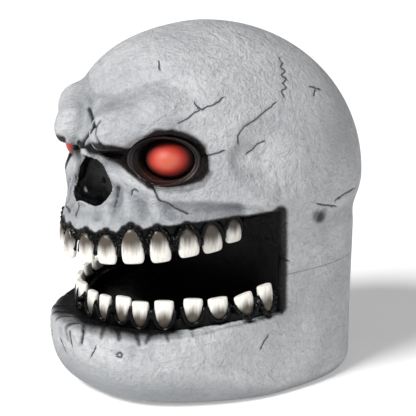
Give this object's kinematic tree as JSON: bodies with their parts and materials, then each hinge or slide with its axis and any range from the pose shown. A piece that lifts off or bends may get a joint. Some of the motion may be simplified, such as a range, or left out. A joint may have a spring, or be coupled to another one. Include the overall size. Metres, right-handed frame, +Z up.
{
  "type": "light-up halloween skull decoration",
  "caption": "Hollow moulded skull for halloween with a wide open toothed mouth, deep brows and battery-lit oval red eyes, standing on its own flat base.",
  "frame": {"origin": "On the table under the middle of the bounding box", "axes": "+Z up, -Y the way the face looks, +X the skull's own left side"},
  "size_m": [0.338, 0.4164, 0.438],
  "materials": {
    "bone": "matte, sprayed grey and black in the hollows",
    "black": "satin to gloss paint",
    "ivory": "satin, brown at the gum end",
    "eyelid": "satin",
    "red_lens": "gloss, milky",
    "white_plastic": "satin",
    "case": "fine spark texture",
    "wire": "matte",
    "board": "satin",
    "sleeve": "gloss",
    "metal": "nickel plated"
  },
  "bodies": {
    "skull": {"cranium_shell": "bone", "jaw_shell": "bone", "upper_gum": "black", "lower_gum": "black", "mouth_liner": "black", "nose_liner": "black", "upper_tooth_left_1": "ivory", "upper_tooth_left_2": "ivory", "upper_tooth_left_3": "ivory", "upper_tooth_left_4": "ivory", "upper_tooth_left_5": "ivory", "upper_tooth_left_6": "ivory", "upper_tooth_left_7": "ivory", "upper_tooth_right_1": "ivory", "upper_tooth_right_2": "ivory", "upper_tooth_right_3": "ivory", "upper_tooth_right_4": "ivory", "upper_tooth_right_5": "ivory", "upper_tooth_right_6": "ivory", "upper_tooth_right_7": "ivory", "lower_tooth_left_1": "ivory", "lower_tooth_left_2": "ivory", "lower_tooth_left_3": "ivory", "lower_tooth_left_4": "ivory", "lower_tooth_left_5": "ivory", "lower_tooth_left_6": "ivory", "lower_tooth_left_7": "ivory", "lower_tooth_left_8": "ivory", "lower_tooth_right_1": "ivory", "lower_tooth_right_2": "ivory", "lower_tooth_right_3": "ivory", "lower_tooth_right_4": "ivory", "lower_tooth_right_5": "ivory", "lower_tooth_right_6": "ivory", "lower_tooth_right_7": "ivory", "lower_tooth_right_8": "ivory", "eye_lens_left": "red_lens", "eye_lens_right": "red_lens", "eyelid_ring_left": "eyelid", "eyelid_ring_right": "eyelid", "lamp_cup_left": "white_plastic", "lamp_cup_right": "white_plastic", "led_left": "red_lens", "led_right": "red_lens", "eye_wire_left": "wire", "eye_wire_right": "wire", "battery_case": "case", "hinge_pin": "metal", "battery_left": "sleeve", "battery_middle": "sleeve", "battery_right": "sleeve", "contact_strip_lower": "metal", "contact_strip_upper": "metal", "circuit_board": "board", "case_screw_left": "metal", "case_screw_right": "metal", "base_plate": "case"},
    "lid": {"battery_lid": "case"},
    "switch": {"power_switch": "white_plastic"}
  },
  "joints": [
    {"name": "lid_hinge", "type": "hinge", "parent": "skull", "child": "lid", "pos_m": [0, 0.17936, 0.12], "axis": [1, 0, 0], "range_deg": [0, 80]},
    {"name": "switch_slide", "type": "slide", "parent": "skull", "child": "switch", "axis": [1, 0, 0], "range_m": [0, 0.005]}
  ]
}
